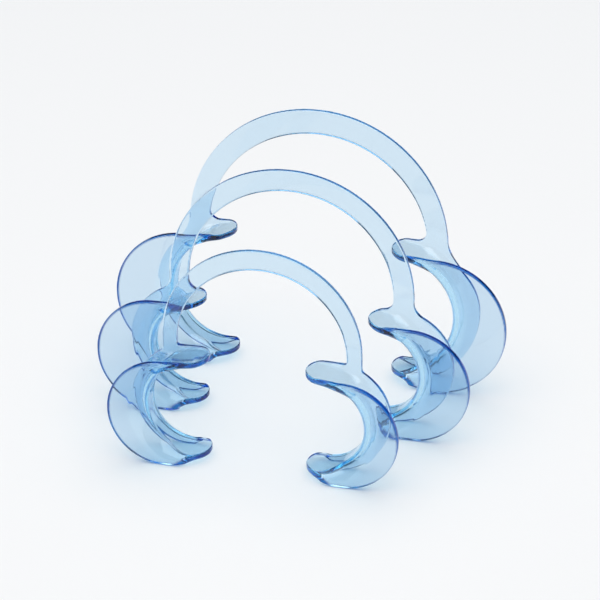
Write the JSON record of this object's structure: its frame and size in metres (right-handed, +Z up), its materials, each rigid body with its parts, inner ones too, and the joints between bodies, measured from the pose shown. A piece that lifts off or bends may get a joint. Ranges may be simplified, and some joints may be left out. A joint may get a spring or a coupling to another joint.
{
  "type": "cheek retractor set",
  "caption": "Set of clear blue one-piece cheek retractors in graded sizes, each a springy C-shaped bow with a flanged lip holder at each end, standing upright one behind another.",
  "frame": {"origin": "on the plane that the feet of the flanges stand on, under the middle of the set's bounding box", "axes": "+Z up, +X to the wearer's right across each bow, +Y forwards from the mouth, from the small retractor towards the large one"},
  "size_m": [0.1252, 0.078, 0.085],
  "materials": {
    "clear_blue_plastic": "clear light-blue moulded plastic with polished faces; walls look almost colourless face on, and edges and folds look deep blue"
  },
  "bodies": {
    "large_left": {"large_left_half": "clear_blue_plastic"},
    "large_right": {"large_right_half": "clear_blue_plastic"},
    "medium_left": {"medium_left_half": "clear_blue_plastic"},
    "medium_right": {"medium_right_half": "clear_blue_plastic"},
    "small_left": {"small_left_half": "clear_blue_plastic"},
    "small_right": {"small_right_half": "clear_blue_plastic"}
  },
  "joints": [
    {"name": "large_bow_flex", "type": "hinge", "parent": "large_left", "child": "large_right", "pos_m": [0, 0.0381, 0.08115], "axis": [0, 1, 0], "range_deg": [-5, 15], "stiffness_Nm_per_rad": 1.6},
    {"name": "medium_lift", "type": "slide", "parent": "large_left", "child": "medium_left", "axis": [0, 0, 1], "range_m": [0, 0.09]},
    {"name": "medium_bow_flex", "type": "hinge", "parent": "medium_left", "child": "medium_right", "pos_m": [0, 0.0061, 0.0754], "axis": [0, 1, 0], "range_deg": [-5, 15], "stiffness_Nm_per_rad": 1.2},
    {"name": "small_lift", "type": "slide", "parent": "large_left", "child": "small_left", "axis": [0, 0, 1], "range_m": [0, 0.09]},
    {"name": "small_bow_flex", "type": "hinge", "parent": "small_left", "child": "small_right", "pos_m": [0, -0.0259, 0.06415], "axis": [0, 1, 0], "range_deg": [-5, 15], "stiffness_Nm_per_rad": 0.85}
  ]
}
